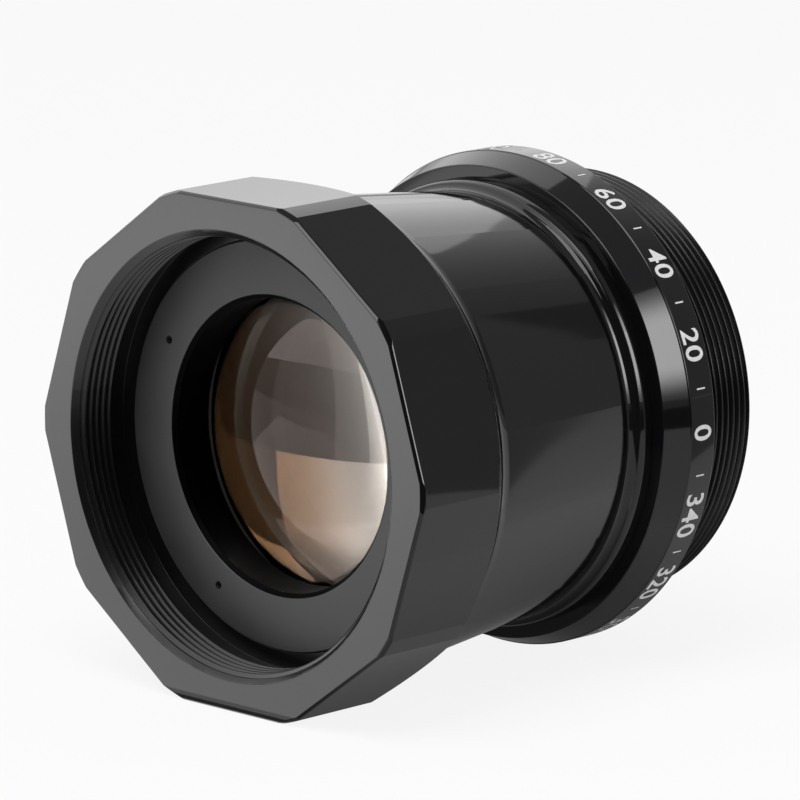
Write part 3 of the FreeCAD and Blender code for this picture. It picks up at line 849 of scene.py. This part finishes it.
def sector_columns(corner):
    """Angles from a flat's middle, as fractions of the way to the corner and beyond it."""
    edge = np.minimum(EDGE_HALF_WIDTH / FLAT_RADIUS, corner / 3)[:, None]
    corner = corner[:, None]
    flat_part = (corner - edge) * np.linspace(0.0, 1.0, FLAT_COLUMNS)
    round_share = np.linspace(0.0, 1.0, ROUND_COLUMNS)
    round_part = corner + edge + (HALF_SECTOR - corner - edge) * round_share
    half = np.concatenate([flat_part, corner, round_part], axis=1)
    return np.concatenate([-half[:, :0:-1], half[:, :-1]], axis=1)


offsets = sector_columns(corner_angles(barrel_outline))
sector_middles = math.pi / 2 + 2 * HALF_SECTOR * np.arange(FLATS)
angles = (sector_middles[None, :, None] + offsets[:, None, :]).reshape(len(offsets), -1)
from_middle = np.tile(offsets, (1, FLATS))
place = np.repeat(barrel_outline[:, :1], angles.shape[1], axis=1)
radius = np.repeat(barrel_outline[:, 1:], angles.shape[1], axis=1)
print("barrel grid:", angles.shape)

# %% [markdown]
# ### Flats, thread and skin
# Now both rules are applied to the whole grid at once. The flat limits the radius on the grip,
# and the thread's ridge takes its height off the radius in the front bore, where the mouth's
# break trims it.

# %% Barrel: surface
ON_WALL = 1e-4
flat_limit = (FLAT_RADIUS - np.clip(FLAT_BREAK - place, 0.0, FLAT_BREAK)) / np.cos(from_middle)
on_grip = (radius > OUTSIDE) & (place < REAR_BREAK_END)
radius = np.where(on_grip, np.minimum(radius, flat_limit), radius)
on_thread = (np.abs(radius - THREAD_WALL) < ON_WALL) & (place <= THREAD_END)
ridge = np.maximum(THREAD_WALL - THREAD_DEPTH * thread_height(place, angles), MOUTH - place)
radius = np.where(on_thread, ridge, radius)
barrel_points = np.stack([radius * np.cos(angles), place, radius * np.sin(angles)], axis=-1)
row_place, row_radius = barrel_outline.T
in_bore = (row_place < REAR_BREAK_END) & (row_radius < MOUTH - HAIR)
in_bore |= row_radius < RING_BORE + HAIR
on_face = (row_place < HAIR) & (row_radius > MOUTH)
barrel = grid_mesh("barrel_turned", barrel_points, gloss_black,
                   [(bore_black, in_bore), (face_black, on_face)])
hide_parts("barrel")

# %% [markdown]
# ## The rear adapter
# The flange behind the barrel is a turned ring with a cone, a plain band for the figures and a
# neck with the male thread. These are its sizes, and its outline goes once round the metal.

# %% Rear adapter: sizes and outline
SPIGOT_BORE = 41.93
FLANGE_FRONT = 45.95
CONE_END = 74.6
CONE = 47.85
BAND = 48.1
SHOULDER = 81.3
UNDERCUT = 42.2
UNDERCUT_DEPTH = 0.3
NECK_RELIEF = 40.6
NECK_THREAD_START = 83.9
NECK_WALL = 41.753
LENGTH = 98.9
NECK_BREAK = 0.8
NECK_BORE = 38.0
SPIGOT_GAP = 0.1
SMALL_BREAK = 0.2

neck_rows = np.arange(NECK_THREAD_START, LENGTH - NECK_BREAK, PITCH / STEPS_PER_PITCH)
adapter_outline = soften(np.concatenate([
    [(JOINT, SPIGOT_BORE), (JOINT, FLANGE_FRONT - SMALL_BREAK),
     (JOINT + SMALL_BREAK, FLANGE_FRONT), (CONE_END, CONE), (CONE_END + SMALL_BREAK, BAND),
     (SHOULDER - SMALL_BREAK, BAND), (SHOULDER, BAND - SMALL_BREAK), (SHOULDER, UNDERCUT),
     (SHOULDER - UNDERCUT_DEPTH, UNDERCUT), (SHOULDER - UNDERCUT_DEPTH, NECK_RELIEF),
     (NECK_THREAD_START - (NECK_WALL - NECK_RELIEF), NECK_RELIEF)],
    np.stack([neck_rows, np.full(len(neck_rows), NECK_WALL)], axis=-1),
    [(LENGTH - NECK_BREAK, NECK_WALL), (LENGTH, NECK_WALL - NECK_BREAK), (LENGTH, NECK_BORE),
     (SPIGOT_END + SPIGOT_GAP, NECK_BORE), (SPIGOT_END + SPIGOT_GAP, SPIGOT_BORE)],
]))
print("adapter outline:", len(adapter_outline), "rows")

# %% [markdown]
# ### The male thread
# The ridge is cut down into the neck here: its crest is the plain wall, and its root lies one
# thread depth below it. The seat of the neck and everything further in take the finish of
# the bores.

# %% Rear adapter: surface
AROUND = 240
even_angles = np.arange(AROUND) * 2 * np.pi / AROUND
points = turned_points(adapter_outline, even_angles)
place = points[..., 1]
radius = np.hypot(points[..., 0], points[..., 2])
on_thread = (np.abs(radius - NECK_WALL) < ON_WALL) & (place >= NECK_THREAD_START)
ridge = NECK_WALL - THREAD_DEPTH * (1.0 - thread_height(place, even_angles[None]))
radius = np.where(on_thread, ridge, radius)
adapter_points = np.stack([
    radius * np.cos(even_angles), place, radius * np.sin(even_angles)], axis=-1)
adapter = grid_mesh("rear_adapter_turned", adapter_points, gloss_black,
                    [(bore_black, adapter_outline[:, 1] < UNDERCUT + HAIR)])
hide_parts("rear_adapter")

# %% [markdown]
# ## Glass
# A lens is two spherical faces and a ground rim. Each face is a set of rings whose places follow
# `radius of the sphere - sqrt(radius^2 - r^2)`, closed by a point on the axis. The rim is painted
# black, as on good optics, so light that strikes it dies.

# %% Lens faces
LENS_RINGS = 30


def sag(bend, reach):
    """How far a spherical face falls back at a distance from the axis."""
    return bend - np.sqrt(bend * bend - reach * reach)


def spherical(vertex, bend, reach):
    """Place of a spherical face at a distance from the axis; a bend of None is flat.

    A positive bend has its centre behind the vertex, a negative one in front of it.
    """
    if bend is None:
        return vertex + 0 * reach
    return vertex + math.copysign(1.0, bend) * sag(abs(bend), reach)


def face_rows(vertex, bend, rim, edge):
    """Rings of one face from the axis outwards. A hollow face ends in a flat at its edge."""
    rings = rim * np.sin(np.linspace(0.0, np.pi / 2, LENS_RINGS + 1))[1:]
    place = spherical(vertex, bend, rings)
    if abs(edge - place[-1]) > HAIR:
        turn_out = math.sqrt(bend ** 2 - (abs(bend) - abs(edge - vertex)) ** 2)
        inner = turn_out * np.sin(np.linspace(0.0, np.pi / 2, LENS_RINGS - 1))[1:]
        rings = np.append(inner, (turn_out + BREAK, rim))
        place = np.append(spherical(vertex, bend, inner), (edge, edge))
    return np.stack([place, rings], axis=-1)


# %% [markdown]
# ### Closed lenses
# Front face, rim and rear face follow each other in one grid, which two fans of triangles close
# at the axis. A lens replaces the node that it is named after.

# %% Five lenses
LENS_AROUND = 144
RIM_BREAK = 0.12
RIM_ROWS = 3
RIM_SHARP = math.radians(20)
FRONT_GLASS = 32.6
REAR_GLASS = 30.5
CEMENT = 0.02
CEMENT_PLACE = 42.7
CEMENT_BEND = -200.0


def lens(node, front, rear, rim, material, front_edge=None, rear_edge=None):
    """Closed lens. front and rear are (vertex, bend). An edge is a place on the rim where a
    flat ends the face: without one, the face runs out to the rim."""
    name = node + "_glass"
    front_edge = spherical(*front, rim) if front_edge is None else front_edge
    rear_edge = spherical(*rear, rim) if rear_edge is None else rear_edge
    front_rows = face_rows(*front, rim, front_edge)
    rear_rows = face_rows(*rear, rim, rear_edge)[::-1]
    front_rows[-1, 1] = rear_rows[0, 1] = rim - RIM_BREAK
    edge = np.array([(front_edge + RIM_BREAK, rim), (rear_edge - RIM_BREAK, rim)])
    columns = np.arange(LENS_AROUND) * 2 * np.pi / LENS_AROUND
    points = turned_points(np.concatenate([front_rows, edge, rear_rows]), columns)
    index = np.arange(points.size // 3).reshape(points.shape[:2])
    beside = np.roll(index, -1, axis=1)
    quads = np.stack([index[:-1], index[1:], beside[1:], beside[:-1]], axis=-1).reshape(-1, 4)
    poles = [(0.0, front[0], 0.0), (0.0, rear[0], 0.0)]
    fans = [np.stack([np.full(LENS_AROUND, index.size), index[0], beside[0]], axis=-1),
            np.stack([beside[-1], index[-1], np.full(LENS_AROUND, index.size + 1)], axis=-1)]
    faces = quads.tolist() + fans[0].tolist() + fans[1].tolist()
    mesh = bpy.data.meshes.new(name)
    mesh.from_pydata((np.concatenate([points.reshape(-1, 3), poles]) * MM).tolist(), [], faces)
    mesh.materials.append(material)
    mesh.materials.append(rim_black)
    slots = np.zeros(len(faces), dtype=np.int32)
    rim_first = (len(front_rows) - 1) * LENS_AROUND
    slots[rim_first:rim_first + RIM_ROWS * LENS_AROUND] = 1
    mesh.polygons.foreach_set("material_index", slots)
    mesh.polygons.foreach_set("use_smooth", np.ones(len(faces), dtype=bool))
    mesh.set_sharp_from_angle(angle=RIM_SHARP)
    thing = bpy.data.objects.new(name, mesh)
    bpy.context.collection.objects.link(thing)
    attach(thing, "root")
    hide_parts(node)
    print(f"{name}: {len(faces)} faces")


lens("front_lens", (14.6, 55.0), (31.0, 240.0), FRONT_GLASS, front_glass, rear_edge=32.9)
lens("doublet_crown", (31.7, 95.0), (CEMENT_PLACE, CEMENT_BEND), FRONT_GLASS, crown_glass)
lens("doublet_flint", (CEMENT_PLACE + CEMENT, CEMENT_BEND), (45.2, 90.0), FRONT_GLASS,
     flint_glass, rear_edge=FRONT_SEAT)
lens("fourth_lens", (58.7, -120.0), (63.7, -150.0), REAR_GLASS, crown_glass,
     front_edge=REAR_SEAT)
lens("rear_lens", (64.6, 100.0), (71.4, None), REAR_GLASS, crown_glass)

# %% [markdown]
# ## Rings, spacers and seals
# These CAD pieces already have the right shape, so they stay and only take their finish.

# %% Carried pieces
CARRIED = {
    "front_retaining_ring": matt_black, "rear_retaining_ring": matt_black,
    "front_spacer": matt_black, "rear_spacer": matt_black,
    "front_o_ring": seal_rubber, "rear_o_ring": seal_rubber,
}
for node, material in CARRIED.items():
    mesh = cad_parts[node].data
    mesh.materials.clear()
    mesh.materials.append(material)
    print(node, "takes", material.name)

# %% [markdown]
# ## Figures on the band
# The band carries a plain scale of degrees, for setting the camera's turn. Each figure is a
# text curve made into a mesh and then wrapped round the band: its height runs along the
# axis and its length runs round it, by `angle = length / radius`.

# %% Printed scale
FIGURE_HEIGHT = 4.6
FIGURE_SHARE = 0.72
FIGURE_SPACING = 1.05
FIGURE_WEIGHT = 0.09
FIGURE_STEP = 20
TICK_STEP = 10
TICK_HALF = np.array([0.15, 1.1])
INK = 0.03
BAND_MIDDLE = (CONE_END + SMALL_BREAK + SHOULDER - SMALL_BREAK) / 2


def figure_outline(text):
    """Flat points, in millimetres, and faces of a figure. It stands on y = 0, and its middle
    lies at x = 0. A figure is FIGURE_SHARE of its type's nominal size high."""
    curve = bpy.data.curves.new("figure", "FONT")
    curve.body = text
    curve.align_x = "CENTER"
    curve.size = FIGURE_HEIGHT / FIGURE_SHARE
    curve.space_character = FIGURE_SPACING
    curve.offset = FIGURE_WEIGHT
    maker = bpy.data.objects.new("figure", curve)
    bpy.context.collection.objects.link(maker)
    bpy.context.view_layer.update()
    mesh = bpy.data.meshes.new_from_object(maker.evaluated_get(
        bpy.context.evaluated_depsgraph_get()))
    flat = np.zeros(len(mesh.vertices) * 3)
    mesh.vertices.foreach_get("co", flat)
    faces = [list(face.vertices) for face in mesh.polygons]
    flat = flat.reshape(-1, 3)[:, :2]
    bpy.data.objects.remove(maker)
    bpy.data.meshes.remove(mesh)
    bpy.data.curves.remove(curve)
    return flat, faces


def wrap(flat, angle):
    """Wraps flat points on the band. Their x runs round it and their y along the axis."""
    turn_by = angle - flat[:, 0] / BAND
    reach = BAND + INK
    return np.stack([reach * np.cos(turn_by), BAND_MIDDLE + flat[:, 1],
                     reach * np.sin(turn_by)], axis=-1)


print_points, print_faces, count = [], [], 0
for degree in range(0, 360, TICK_STEP):
    if degree % FIGURE_STEP == 0:
        flat, faces = figure_outline(str(degree))
        flat = flat - [0.0, FIGURE_HEIGHT / 2]
    else:
        flat = TICK_HALF * [(-1, -1), (1, -1), (1, 1), (-1, 1)]
        faces = [[0, 1, 2, 3]]
    print_points.append(wrap(flat, math.radians(degree)))
    print_faces += [[corner + count for corner in face] for face in faces]
    count += len(flat)
mesh = bpy.data.meshes.new("band_figures")
mesh.from_pydata((np.concatenate(print_points) * MM).tolist(), [], print_faces)
mesh.validate()
mesh.materials.append(white_paint)
figures = bpy.data.objects.new("band_figures", mesh)
bpy.context.collection.objects.link(figures)
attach(figures, "root")
print("figures:", len(print_faces), "faces")
